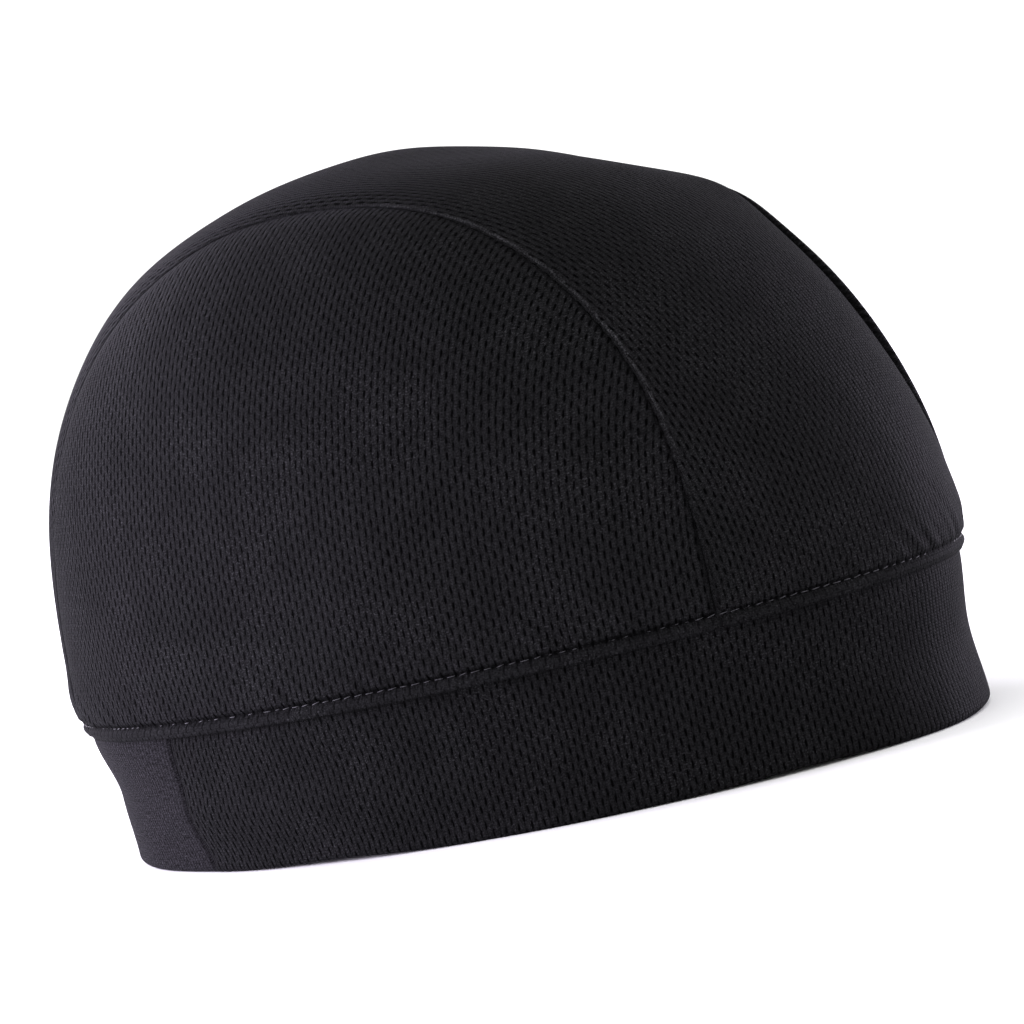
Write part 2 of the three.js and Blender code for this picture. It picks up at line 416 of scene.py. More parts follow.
def sidePanelCloth(name, side):
    s = spacing(*sidePanel["lengthSteps"])
    t = spacing(*sidePanel["heightSteps"])
    foldRows = np.array(sewing["foldRows"])
    skirtS = np.concatenate([[sewing["turnIn"]], np.zeros(len(s)), [sewing["turnIn"]]])
    skirtT = np.concatenate([np.zeros(len(foldRows) + len(t)), [sewing["turnIn"]]])
    foldT = np.concatenate([foldRows, np.full(len(t) + 1, -1.0)])
    s = np.concatenate([[0], s, [1]])
    t = np.concatenate([np.zeros(len(foldRows)), t, [1]])
    if side < 0:
        s = s[::-1]

    def seamAt(turn):
        share = seamShareAt(turn, side)
        return np.stack([share * np.cos(np.radians(turn)), share * np.sin(np.radians(turn))], -1)

    # the flat half disc of the panel, filled from its four edges: s runs from front to rear
    cornerTurn = sidePanel["cornerTurn"]
    sGrid, tGrid = np.meshgrid(s, t)
    frontShare = float(seamShareAt(0, side))
    rearShare = float(seamShareAt(180, side))
    bottom = np.stack([frontShare + (-rearShare - frontShare) * sGrid, 0 * sGrid], -1)
    top = seamAt(cornerTurn + (180 - 2 * cornerTurn) * sGrid)
    front = seamAt(cornerTurn * tGrid)
    rear = seamAt(180 - cornerTurn * tGrid)
    corners = [seamAt(np.array(float(a))) for a in (0, 180, cornerTurn, 180 - cornerTurn)]
    s1, t1 = sGrid[..., None], tGrid[..., None]
    flat = (1 - t1) * bottom + t1 * top + (1 - s1) * front + s1 * rear
    flat = flat - ((1 - s1) * (1 - t1) * corners[0] + s1 * (1 - t1) * corners[1])
    flat = flat - ((1 - s1) * t1 * corners[2] + s1 * t1 * corners[3])
    flat[..., 1] = np.maximum(flat[..., 1], 0)
    turn = np.degrees(np.arctan2(flat[..., 1], flat[..., 0]))
    share = np.hypot(flat[..., 0], flat[..., 1])
    fold = np.repeat(foldT[:, None], len(s), 1)
    skirt = np.maximum(skirtS[None, :], skirtT[:, None])
    points, seamMm, ringMm = crownSheet(turn, share, side, fold, skirt, "side")
    # the cloth's columns of loops run up in planes across the cap, its courses along it
    height = seamMm[..., 1]
    x = domePoint(turn, share, side)[..., 0]
    up = np.where(fold > -1, height - fold, upSide(x, height))
    obj = clothObject(name, points, np.stack([alongSide(x), up], -1), seamMm, ringMm)
    thicken(obj, sewing["clothThickness"])
    return obj


# Lengths along and up the side panel's surface, from its lower edge, on a grid of 1 mm by 0.5 mm
sideXs = np.linspace(-90, 95, 186)
sideRises = np.linspace(0, 100, 201)


def sideWidthAt(x, rise):
    # half width of the dome where it is cut by a plane across it at x, at a height above the ring
    along = x - capForm["ringCentreX"]
    turn = np.degrees(np.arctan2(rise, along))
    share = np.hypot(along, rise) / reachAt(turn)
    return capForm["halfWidth"] * roundShare(share, domePowerAt(turn))


sideGrid = sideWidthAt(sideXs[:, None], sideRises[None, :])
sideSteps = np.hypot(np.diff(sideRises)[None, :], np.diff(sideGrid, axis=1))
sideClimb = np.concatenate([np.zeros((len(sideXs), 1)), np.cumsum(sideSteps, axis=1)], axis=1)
sideRun = runLength(np.stack([sideXs, sideGrid[:, 0]], -1))


def alongSide(x):
    return np.interp(x, sideXs, sideRun)


def upSide(x, rise):
    i = np.clip((x - sideXs[0]), 0, len(sideXs) - 1.001)
    j = np.clip(rise / sideRises[1], 0, len(sideRises) - 1.001)
    i0, j0 = i.astype(int), j.astype(int)
    fi, fj = i - i0, j - j0
    low = sideClimb[i0, j0] * (1 - fi) + sideClimb[i0 + 1, j0] * fi
    high = sideClimb[i0, j0 + 1] * (1 - fi) + sideClimb[i0 + 1, j0 + 1] * fi
    return low * (1 - fj) + high * fj


# Centre panel
centrePanel = {
    # total, fine step, coarse step, how far in the fine steps reach
    "lengthSteps": (305, 0.35, 1.0, 9),
    "widthSteps": (85, 0.28, 0.85, 4),
}


def centrePanelCloth(name):
    t = spacing(*centrePanel["lengthSteps"])
    a = spacing(*centrePanel["widthSteps"]) * 2 - 1
    foldRows = np.array(sewing["foldRows"])
    foldT = np.concatenate([foldRows, np.full(len(t), -1.0), foldRows[::-1]])
    t = np.concatenate([np.zeros(len(foldRows)), t, np.ones(len(foldRows))])
    skirtA = np.concatenate([[sewing["turnIn"]], np.zeros(len(a)), [sewing["turnIn"]]])
    a = np.concatenate([[-1], a, [1]])
    aGrid, tGrid = np.meshgrid(a, t)
    turn = 180 * tGrid
    across = aGrid * seamHalfAt(turn, aGrid)
    share = roundShare(across / capForm["halfWidth"], domePowerAt(turn))
    side = np.where(across < 0, -1.0, 1.0)
    fold = np.repeat(foldT[:, None], len(a), 1)
    skirt = np.repeat(skirtA[None, :], len(t), 0)
    points, seamMm, ringMm = crownSheet(turn, share, side, fold, skirt, "centre")
    # lengths across from the middle line and along it
    base = domePoint(turn, share, side)
    steps = np.linalg.norm(np.diff(base, axis=1), axis=2)
    run = np.concatenate([np.zeros((len(t), 1)), np.cumsum(steps, axis=1)], axis=1)
    middle = len(a) // 2
    run = run - run[:, middle:middle + 1]
    along = np.repeat(runLength(base[:, middle])[:, None], len(a), 1)
    foldLength = np.where(tGrid < 0.5, -fold, fold)
    along = np.where(fold > -1, along + foldLength, along)
    obj = clothObject(name, points, np.stack([run, along], -1), seamMm, ringMm)
    thicken(obj, sewing["clothThickness"])
    return obj


# Seam allowances: both cloths turned towards the middle and pressed flat inside the long seams
allowance = {
    "width": 6.5,
    "underlap": 0.6,
    "depth": 0.85,
    "thickness": 0.9,
    "turnStep": 1.0,
    "acrossSteps": 10,
    "waveDepth": 0.12,
    "waveTurn": 1.9,
    # stands for no seam near
    "farGap": 9.0,
}


def seamAllowance(name, side):
    turns = np.arange(1.0, 179.01, allowance["turnStep"])
    across = np.linspace(-allowance["underlap"], allowance["width"], allowance["acrossSteps"])
    turn, inAcross = np.meshgrid(turns, across, indexing="ij")
    half = seamHalfAt(turn, side) - inAcross
    base = domePoint(turn, roundShare(half / capForm["halfWidth"], domePowerAt(turn)), side)
    waves = allowance["waveDepth"] * np.sin(turn / allowance["waveTurn"]) * inAcross / allowance["width"]
    inward = allowance["depth"] + waves + dentDepth(base)
    points = base - domeOutward(base) * inward[..., None]
    along = np.repeat(runLength(base[:, 0])[:, None], len(across), 1)
    lengths = np.stack([inAcross, along], -1)
    if side > 0:
        points, lengths = points[:, ::-1], lengths[:, ::-1]
    away = np.full_like(lengths, allowance["farGap"])
    obj = clothObject(name, points, lengths, away, away)
    thicken(obj, allowance["thickness"])
    return obj


# Headband and rear elastic: inset of the face from the ring by angle, at its top, middle and hem
headband = {
    "angles": [0, 90, 180],
    "topInset": [1.6, 1.6, 2.0],
    "middleInset": [2.7, 4.0, 5.2],
    "hemInset": [0.9, 6.6, 5.2],
    # the hem lifts a little off the floor: angle, spread, height
    "hemWaves": [(93, 12, 0.7), (29, 14, 0.7)],
    # rows of the face from the top down to the hem: from, to, count
    "faceRows": [(1, 0.12, 30), (0.1, 0, 5)],
    "hemBends": 13,
    "topBends": 9,
    "wall": 2.6,
    "tuck": 3.0,
    "topRadius": 0.8,
    "hemRadius": 1.25,
    "columns": 520,
    "elasticStep": 0.8,
    "elasticHalfAngle": 63.0,
    # where headband and elastic meet, the face sinks in
    "endSink": 0.3,
    "endSinkWidth": 0.8,
    # the seam between them stands upright, not square to the ring
    "endSheer": 6.4,
    "endBow": 1.2,
    "endBowShare": 0.45,
    "endBowWidth": 0.25,
    "endReach": 25,
    # depth, length along the band, length up it
    "waves": [(0.16, 11, 20), (0.12, 6.1, 9)],
}
insetTop = smoothTable(headband["angles"], headband["topInset"])
insetMiddle = smoothTable(headband["angles"], headband["middleInset"])
insetHem = smoothTable(headband["angles"], headband["hemInset"])


def faceInset(share, fold):
    hem, middle, top = insetHem(fold), insetMiddle(fold), insetTop(fold)
    low = hem + (middle - hem) * smoothStep(share / 0.5)
    high = middle + (top - middle) * smoothStep((share - 0.5) / 0.5)
    return np.where(share < 0.5, low, high)


def bandCloth(name, fromAngle, toAngle, middleAngle, columns):
    angles = np.linspace(fromAngle, toAngle, columns)
    fold = np.where(angles % 360 > 180, 360 - angles % 360, angles % 360)
    plan = ringPoint(angles, 0 * angles)
    height = ringHeightAt(plan[:, 0])
    length = runLength(plan)
    length = length - length[np.argmin(np.abs(angles - middleAngle))]
    edgeGap = np.minimum(np.abs(length - length[0]), np.abs(length[-1] - length))
    # rows: down the outer face, round the hem, up the inner face, over the top edge
    face = np.concatenate([np.linspace(*part) for part in headband["faceRows"]])
    rows = [("out", share) for share in face]
    rows += [("hem", math.radians(bend)) for bend in np.linspace(0, 180, headband["hemBends"])[1:-1]]
    rows += [("in", share) for share in face[::-1]]
    rows += [("top", math.radians(bend)) for bend in np.linspace(0, 180, headband["topBends"])[1:-1]]
    rows.append(("out", 1.0))
    points = np.empty((len(rows), len(angles), 3))
    lengths = np.empty((len(rows), len(angles), 2))
    travel = np.zeros(len(angles))
    wall = headband["wall"]
    radius = headband["hemRadius"]
    topZ = height + headband["tuck"] - headband["topRadius"]
    lift = sum(rise * bump(fold - at, spread) for at, spread, rise in headband["hemWaves"])
    for r, (kind, value) in enumerate(rows):
        if kind in ("out", "in"):
            z = radius + value * (topZ - radius)
            inset = faceInset(z / height, fold) + (wall if kind == "in" else 0)
        elif kind == "hem":
            z = radius - radius * math.sin(value) + 0 * height
            inset = faceInset(radius / height, fold) + wall / 2 * (1 - math.cos(value))
        else:
            z = topZ + headband["topRadius"] * math.sin(value)
            inset = faceInset(topZ / height, fold) + wall / 2 * (1 + math.cos(value))
        if kind == "out":
            inset = inset + headband["endSink"] * bump(edgeGap, headband["endSinkWidth"])
        waves = sum(depth * np.sin(length / run + z / rise) for depth, run, rise in headband["waves"])
        inset = inset + waves * np.clip(1 - z / height, 0, 1)
        lowShare = np.clip(z / height, 0, 1)
        sheer = headband["endSheer"] * (lowShare - 0.5) ** 2 * (lowShare > 0.5)
        bow = headband["endBow"] * bump(lowShare - headband["endBowShare"], headband["endBowWidth"])
        turnBy = (sheer - bow) * bump(edgeGap, headband["endReach"]) * np.where(fold > 90, 1, 0)
        turnBy = turnBy * np.where(angles % 360 > 180, 1, -1)
        spot = ringPoint(angles + turnBy, inset)
        z = z + lift * (1 - lowShare) ** 2
        points[r] = np.stack([spot[:, 0], spot[:, 1], z], -1)
        if r:
            travel = travel + np.linalg.norm(points[r] - points[r - 1], axis=1)
        lengths[r, :, 0] = length
        lengths[r, :, 1] = travel
    points[-1] = points[0]
    points = points[::-1]
    lengths = lengths[::-1]
    seamMm = np.stack([np.repeat(edgeGap[None, :], len(rows), 0), lengths[..., 1]], -1)
    obj = clothObject(name, points, lengths, seamMm, np.full_like(seamMm, -9.0), closed=True)
    bm = bmesh.new()
    bm.from_mesh(obj.data)
    bmesh.ops.holes_fill(bm, edges=bm.edges, sides=0)
    bm.to_mesh(obj.data)
    bm.free()
    return obj


# Cloth materials, in millimetres of the cloth's own lengths
class Sums:
    # short forms for a material's nodes
    def __init__(self, name):
        self.material = bpy.data.materials.new(name)
        self.material.use_nodes = True
        self.nodes = self.material.node_tree.nodes
        self.links = self.material.node_tree.links
        self.shader = self.nodes["Principled BSDF"]

    def of(self, operation, *values, clamp=False):
        node = self.nodes.new("ShaderNodeMath")
        node.operation = operation
        node.use_clamp = clamp
        for i, value in enumerate(values):
            if isinstance(value, (int, float)):
                node.inputs[i].default_value = value
            else:
                self.links.new(value, node.inputs[i])
        return node.outputs[0]

    def times(self, *values):
        total = values[0]
        for value in values[1:]:
            total = self.of("MULTIPLY", total, value)
        return total

    def plus(self, *values):
        total = values[0]
        for value in values[1:]:
            total = self.of("ADD", total, value)
        return total

    def away(self, value, middle):
        return self.of("ABSOLUTE", self.of("SUBTRACT", value, middle))

    def range(self, value, low, high, toLow, toHigh, smooth=True):
        node = self.nodes.new("ShaderNodeMapRange")
        node.interpolation_type = "SMOOTHSTEP" if smooth else "LINEAR"
        self.links.new(value, node.inputs[0])
        for i, number in enumerate((low, high, toLow, toHigh)):
            node.inputs[i + 1].default_value = number
        return node.outputs[0]

    def noise(self, vector, scale, detail=2.0, rough=0.5):
        node = self.nodes.new("ShaderNodeTexNoise")
        self.links.new(vector, node.inputs["Vector"])
        node.inputs["Scale"].default_value = scale
        node.inputs["Detail"].default_value = detail
        node.inputs["Roughness"].default_value = rough
        return node.outputs[0]

    def shift(self, vector, scale, reach):
        # soft noise about zero, for lengths that wander
        return self.times(self.of("SUBTRACT", self.noise(vector, scale, 1.0), 0.5), reach)

    def split(self, vector):
        node = self.nodes.new("ShaderNodeSeparateXYZ")
        self.links.new(vector, node.inputs[0])
        return node.outputs[0], node.outputs[1], node.outputs[2]

    def uv(self, layer):
        node = self.nodes.new("ShaderNodeUVMap")
        node.uv_map = layer
        return node.outputs[0]

    def place(self):
        return self.nodes.new("ShaderNodeTexCoord").outputs["Object"]

    def scaled(self, vector, numbers):
        node = self.nodes.new("ShaderNodeVectorMath")
        node.operation = "MULTIPLY"
        self.links.new(vector, node.inputs[0])
        node.inputs[1].default_value = numbers
        return node.outputs[0]

    def tone(self, colour, shade):
        node = self.nodes.new("ShaderNodeVectorMath")
        node.operation = "SCALE"
        node.inputs[0].default_value = colour
        self.links.new(shade, node.inputs["Scale"])
        return node.outputs[0]

    def relief(self, height):
        # height in millimetres
        node = self.nodes.new("ShaderNodeBump")
        node.inputs["Strength"].default_value = 1.0
        node.inputs["Distance"].default_value = 0.001
        self.links.new(height, node.inputs["Height"])
        self.links.new(node.outputs[0], self.shader.inputs["Normal"])

    def finish(self, colour, look):
        self.links.new(colour, self.shader.inputs["Base Color"])
        self.shader.inputs["Roughness"].default_value = look["roughness"]
        self.shader.inputs["Specular IOR Level"].default_value = look["gloss"]
        self.shader.inputs["Sheen Weight"].default_value = look["sheen"]
        self.shader.inputs["Sheen Roughness"].default_value = look["sheenRoughness"]
        self.shader.inputs["Sheen Tint"].default_value = (*look["sheenTint"], 1)
        return self.material


clothSheen = {
    "roughness": 0.6,
    "gloss": 0.004,
    "sheen": 0.026,
    "sheenRoughness": 0.14,
    "sheenTint": (0.86, 0.80, 1.0),
}
meshKnit = {
    **clothSheen,
    "thread": (0.0084, 0.0083, 0.0091),
    "hole": (0.0005, 0.0005, 0.0006),
    "columnPitch": 1.30,
    "holePitch": 3.0,
    "holeLength": 0.74,
    "holeWidth": 0.18,
    "holeLeast": 0.75,
    "courseHeight": 0.60,
    "courseSlant": 0.3,
    "ridgeBend": 0.06,
    # noises: scale, and detail and roughness or the reach
    "wander": (0.3, 0.6),
    "jitter": (1.1, 0.15),
    "uneven": (0.85, 1.0),
    "grain": (3.4, 3.0, 0.85),
    "strokes": (2.8, 2.0, 0.75),
    "strokeStretch": (1.0, 0.3, 1.0),
    "clouds": (0.12, 2.0),
    "broad": (0.05, 1.0),
    "glints": (2.4, 0.0),
    "specks": (2.3, 2.0, 0.7),
    "glint": 1.6,
    "ridgeRelief": 0.06,
    "holeRelief": 0.14,
    "courseRelief": 0.045,
    "grainRelief": 0.06,
    "strokeRelief": 0.10,
    # the holes stand wider open where the cloth is pulled: at the rear, and beside the centre panel's seams
    "rearWidening": 0.8,
    "seamWidening": 0.0,
    # painted light: the cloth's colour made lighter towards the rear, where light falls on it
    "rearPaintedLight": 1.0,
    # no holes this near a seam; painted shade beside it, and a painted highlight along its very edge
    "plainEdge": 1.1,
    "paintedSeamShade": -0.8,
    "paintedSeamShadeWidth": 2.4,
    "edgeWidth": 0.5,
    "edgeShine": 0.0,
    # painted shade in the crease that the topstitching pulls in, and in the pits between its stitches
    "creaseHeight": sewing["stitchHeight"] + 0.2,
    "paintedCreaseShade": 0.5,
    "pitHeight": sewing["stitchHeight"] + 0.1,
    "paintedPitShade": 0.5,
    # ranges: from, to, and in most of them what they give at each
    "rearPull": (-0.07, 0.01),
    "seamPull": (1.0, 7.0),
    "seamPullFade": (0.0, 0.04, 1.0, 0.0),
    "openAtSeam": 0.15,
    "openAtEdge": (2.2, 3.2, 0.6, 1.0),
    "unevenRange": (0.35, 0.62),
    "pulledOpen": 0.4,
    "holeRim": (0.5, 1.6, 1.0, 0.0),
    "edgeFlatness": (2.0, 3.4, 0.1, 1.0),
    "plainShade": 0.68,
    "ridgeShade": 0.5,
    "rungShade": 0.2,
    "grainTone": (0.3, 0.7, 0.2, 1.8),
    "strokeTone": (0.32, 0.68, 0.5, 1.5),
    "cloudTone": (0.3, 0.7, 0.9, 1.1),
    "glintRange": (0.66, 0.74),
    "glintPlaces": (0.45, 0.6, 0.0, 1.0),
    "paintedSeamShadeAtEdge": (1.5, 3.5, 0.2, 1.0),
    "speckTone": (0.42, 0.62, 0.2, 1.0),
    "speckForward": (0.0, 0.035, 0.0, 1.0),
    "speckAbove": (0.045, 0.08, 0.0, 1.0),
    "creaseWidth": (0.15, 0.65),
    "pitLength": (0.4, 0.9, 0.0, 1.0),
    "pitWidth": (0.3, 0.6, 1.0, 0.0),
    "rearPaintedLightFade": (-0.06, -0.005),
}


def knitMaterial(name, look):
    k = Sums(name)
    cloth = k.uv("clothMm")
    u, v, _ = k.split(cloth)
    seamGap, edgeHeight, _ = k.split(k.uv("seamMm"))
    ringLength, ringHeight, _ = k.split(k.uv("ringMm"))
    x, _, z = k.split(k.place())
    pulled = k.range(x, *look["rearPull"], look["rearWidening"], 0.0)
    besideSeam = k.range(seamGap, *look["seamPull"], look["seamWidening"], 0.0)
    besideSeam = k.times(besideSeam, k.range(x, *look["seamPullFade"]))
    pulled = k.of("MAXIMUM", pulled, besideSeam)
    # columns of holes, every other one half a pitch up; 4000 more keeps their count above zero
    u = k.plus(u, k.shift(cloth, *look["wander"]), k.shift(cloth, *look["jitter"]))
    columns = k.of("DIVIDE", u, look["columnPitch"])
    column = k.of("FLOOR", columns)
    across = k.of("SUBTRACT", k.of("SUBTRACT", columns, column), 0.5)
    parity = k.of("MODULO", k.plus(column, 4000.0), 2.0)
    along = k.plus(k.of("DIVIDE", v, look["holePitch"]), k.times(parity, 0.5))
    along = k.of("SUBTRACT", k.of("FRACT", along), 0.5)
    openWidth = k.times(k.plus(pulled, 1.0), look["holeWidth"])
    holeU = k.of("DIVIDE", k.times(across, look["columnPitch"]), openWidth)
    holeV = k.of("DIVIDE", k.times(along, look["holePitch"]), look["holeLength"])
    holeV = k.times(holeV, holeV)
    holeSize = k.of("SQRT", k.plus(k.times(holeU, holeU), k.times(holeV, holeV)))
    openShare = k.range(seamGap, look["plainEdge"] * 0.5, look["plainEdge"], look["openAtSeam"], 1.0)
    openShare = k.times(openShare, k.range(edgeHeight, *look["openAtEdge"]))
    uneven = k.range(k.noise(cloth, *look["uneven"]), *look["unevenRange"], look["holeLeast"], 1.0)
    uneven = k.of("ADD", uneven, k.times(pulled, look["pulledOpen"]), clamp=True)
    hole = k.times(k.range(holeSize, *look["holeRim"]), openShare, uneven)
    # ridges of loops bend round the holes and lie flat on the rolled edge, and the courses cross them
    swing = k.of("COSINE", k.times(along, 2 * math.pi))
    reach = k.plus(k.times(swing, look["ridgeBend"]), 0.5)
    side = k.of("DIVIDE", k.of("ABSOLUTE", across), reach)
    ridge = k.times(k.of("COSINE", k.times(side, math.pi)), 0.5)
    ridge = k.of("SUBTRACT", 0.5, k.times(ridge, k.range(edgeHeight, *look["edgeFlatness"])))
    course = k.plus(k.of("DIVIDE", v, look["courseHeight"]), k.times(side, look["courseSlant"]))
    rung = k.times(k.of("COSINE", k.times(course, 2 * math.pi)), ridge)
    grain = k.noise(cloth, *look["grain"])
    strokes = k.noise(k.scaled(cloth, look["strokeStretch"]), *look["strokes"])
    height = k.plus(
        k.times(ridge, look["ridgeRelief"]),
        k.times(rung, look["courseRelief"]),
        k.times(grain, look["grainRelief"]),
        k.times(strokes, look["strokeRelief"]),
    )
    k.relief(k.of("SUBTRACT", height, k.times(hole, look["holeRelief"])))
    shade = k.plus(k.times(ridge, look["ridgeShade"]), look["plainShade"], k.times(rung, look["rungShade"]))
    shade = k.times(shade, k.range(grain, *look["grainTone"], False))
    shade = k.times(shade, k.range(strokes, *look["strokeTone"], False))
    # here and there a thread glints
    glint = k.range(k.noise(cloth, *look["glints"]), *look["glintRange"], 0.0, look["glint"])
    glintHere = k.range(k.noise(cloth, *look["broad"]), *look["glintPlaces"])
    shade = k.plus(shade, k.times(glint, glintHere))
    shade = k.times(shade, k.range(k.noise(cloth, *look["clouds"]), *look["cloudTone"], False))
    # painted shade beside a seam, fading out on the rolled edge
    nearSeam = k.range(seamGap, 0.0, look["paintedSeamShadeWidth"], look["paintedSeamShade"], 0.0)
    nearSeam = k.times(nearSeam, k.range(edgeHeight, *look["paintedSeamShadeAtEdge"]))
    shade = k.times(shade, k.plus(nearSeam, 1.0))
    # painted highlight: a pale speckled line along the very edge of a seam over the forehead, where the
    # centre panel's edge catches the light
    speck = k.range(k.noise(cloth, *look["specks"]), *look["speckTone"])
    speck = k.times(speck, k.range(x, *look["speckForward"]), k.range(z, *look["speckAbove"]))
    edgeHighlight = k.range(seamGap, look["edgeWidth"] * 0.5, look["edgeWidth"], look["edgeShine"], 0.0)
    shade = k.times(shade, k.plus(k.times(edgeHighlight, speck), 1.0))
    # painted shade in the topstitching's crease and in the pits between stitches
    creaseGap = k.away(edgeHeight, look["creaseHeight"])
    shade = k.times(shade, k.range(creaseGap, *look["creaseWidth"], look["paintedCreaseShade"], 1.0))
    pit = k.of("COSINE", k.times(ringLength, 2 * math.pi / stitchPitch))
    pitGap = k.away(ringHeight, look["pitHeight"])
    pit = k.times(k.range(pit, *look["pitLength"]), k.range(pitGap, *look["pitWidth"]))
    shade = k.times(shade, k.of("SUBTRACT", 1.0, k.times(pit, look["paintedPitShade"])))
    # painted light: lighter towards the rear
    shade = k.times(shade, k.range(x, *look["rearPaintedLightFade"], look["rearPaintedLight"], 1.0))
    holed = k.nodes.new("ShaderNodeMix")
    holed.data_type = "RGBA"
    holed.blend_type = "MIX"
    k.links.new(hole, holed.inputs[0])
    k.links.new(k.tone(look["thread"], shade), holed.inputs[6])
    holed.inputs[7].default_value = (*look["hole"], 1)
    return k.finish(holed.outputs[2], look)


elasticKnit = {
    **clothSheen,
    "thread": (0.0109, 0.0104, 0.0120),
    "ribPitch": 1.3,
    "rowPitch": 0.5,
    "ribRelief": 0.05,
    "rowRelief": 0.04,
    "grainRelief": 0.06,
    "ribShade": 0.24,
    "rowShade": 0.2,
    "wander": (0.5, 0.5),
    "grain": (2.6, 3.0, 0.85),
    "loops": (1.25, 2.0, 0.8),
    "rowBend": 0.2,
    "grainTone": (0.3, 0.7, 0.2, 1.8),
    "loopTone": (0.35, 0.65, 0.35, 1.65),
    # painted shade where the elastic meets the headband
    "seamPaintedShade": (0.2, 3.0, 0.65, 1.0),
}


def ribMaterial(name, look):
    k = Sums(name)
    cloth = k.uv("clothMm")
    u, v, _ = k.split(cloth)
    seamGap, edgeHeight, _ = k.split(k.uv("seamMm"))
    u = k.plus(u, k.shift(cloth, *look["wander"]))
    rib = k.of("COSINE", k.times(u, 2 * math.pi / look["ribPitch"]))
    rowPhase = k.plus(k.of("DIVIDE", v, look["rowPitch"]), k.times(rib, look["rowBend"]))
    row = k.of("COSINE", k.times(rowPhase, 2 * math.pi))
    grain = k.noise(cloth, *look["grain"])
    height = k.plus(k.times(rib, look["ribRelief"]), k.times(row, look["rowRelief"]))
    k.relief(k.plus(height, k.times(grain, look["grainRelief"])))
    shade = k.plus(k.times(rib, look["ribShade"]), k.times(row, look["rowShade"]), 1.0)
    shade = k.times(shade, k.range(grain, *look["grainTone"], False))
    # small loops standing in upright rows
    shade = k.times(shade, k.range(k.noise(cloth, *look["loops"]), *look["loopTone"], False))
    # painted shade where the elastic meets the headband
    shade = k.times(shade, k.range(seamGap, *look["seamPaintedShade"]))
    return k.finish(k.tone(look["thread"], shade), look)


# Topstitching: one short arched thread for each stitch, round the whole ring
topstitch = {
    "threadRadius": 0.095,
    "stitchLength": 1.7,
    "lean": 7.0,
    "stand": 0.11,
    "arch": 0.15,
    "innerInset": 4.15,
    "thread": (0.0435, 0.0417, 0.0478),
    "twist": 2200,
    "twistTone": (0.3, 0.7, 0.6, 1.4),
    "roughness": 0.5,
    "gloss": 0.2,
    # how lean, length and depth waver: size, and rate along the row
    "leanWaver": [(5, 1.9), (3, 0.37)],
    "lengthWaver": (0.12, 2.7),
    "depthWaver": [(0.03, 0.71, 0), (0.04, 0.193, 1)],
    # where the stitches lie deeper in the cloth: angle, spread, depth
    "deep": [(313, 15, 0.24), (224, 22, 0.19), (364, 26, 0.2), (4, 26, 0.2)],
    # where every other stitch lies deeper
    "uneven": (258, 18, 0.12),
}


def threadMaterial(name, look):
    k = Sums(name)
    shade = k.range(k.noise(k.place(), look["twist"]), *look["twistTone"])
    k.links.new(k.tone(look["thread"], shade), k.shader.inputs["Base Color"])
    k.shader.inputs["Roughness"].default_value = look["roughness"]
    k.shader.inputs["Specular IOR Level"].default_value = look["gloss"]
    return k.material


def topstitchRow(name, inset, facing):
    centres = (np.arange(stitchCount) + 0.5) * stitchPitch
    angles = np.interp(centres, ringLengths, ringAngles)
    plan = ringPoint(angles, inset + 0 * angles)
    height = sewing["stitchHeight"]
    z = ringHeightAt(ringPoint(angles, 0 * angles)[:, 0]) + height
    ahead = ringPoint(angles + 0.2, 0 * angles) - ringPoint(angles - 0.2, 0 * angles)
    depth = sum(size * np.sin(centres * rate + start) for size, rate, start in topstitch["depthWaver"])
    for at, spread, deeper in topstitch["deep"]:
        depth = depth + deeper * bump(angles - at, spread)
    at, spread, deeper = topstitch["uneven"]
    depth = depth + deeper * (np.arange(stitchCount) % 2) * bump(angles - at, spread)
    longer, rate = topstitch["lengthWaver"]
    radius = topstitch["threadRadius"]
    bm = bmesh.new()
    for i in range(stitchCount):
        along = Vector((ahead[i, 0], ahead[i, 1], 0)).normalized()
        outward = Vector((along.y, -along.x, 0))
        lean = topstitch["lean"] + sum(size * math.sin(i * pace) for size, pace in topstitch["leanWaver"])
        lean = math.radians(lean)
        tilted = along * math.cos(lean) + Vector((0, 0, 1)) * math.sin(lean)
        sideways = outward.cross(tilted)
        half = topstitch["stitchLength"] / 2 * (1 + longer * math.sin(i * rate))
        relief = 0.0
        if facing > 0:
            relief = float(edgeRelief(np.array(height), centres[i], plan[i, 0], plan[i, 1]))
        stand = facing * (topstitch["stand"] - depth[i])
        centre = Vector((plan[i, 0], plan[i, 1], z[i])) + outward * (relief + stand)
        # a ball drawn out along the stitch, its ends bent into the cloth
        made = bmesh.ops.create_uvsphere(bm, u_segments=6, v_segments=8, radius=1)["verts"]
        for vert in made:
            out = vert.co.y * radius - facing * topstitch["arch"] * abs(vert.co.z) ** 3
            vert.co = centre + sideways * (vert.co.x * radius) + outward * out + tilted * (vert.co.z * half)
    bmesh.ops.scale(bm, vec=(0.001, 0.001, 0.001), verts=bm.verts)
    bmesh.ops.recalc_face_normals(bm, faces=bm.faces)
    return meshObject(name, bpy.data.meshes.new(name), bm)


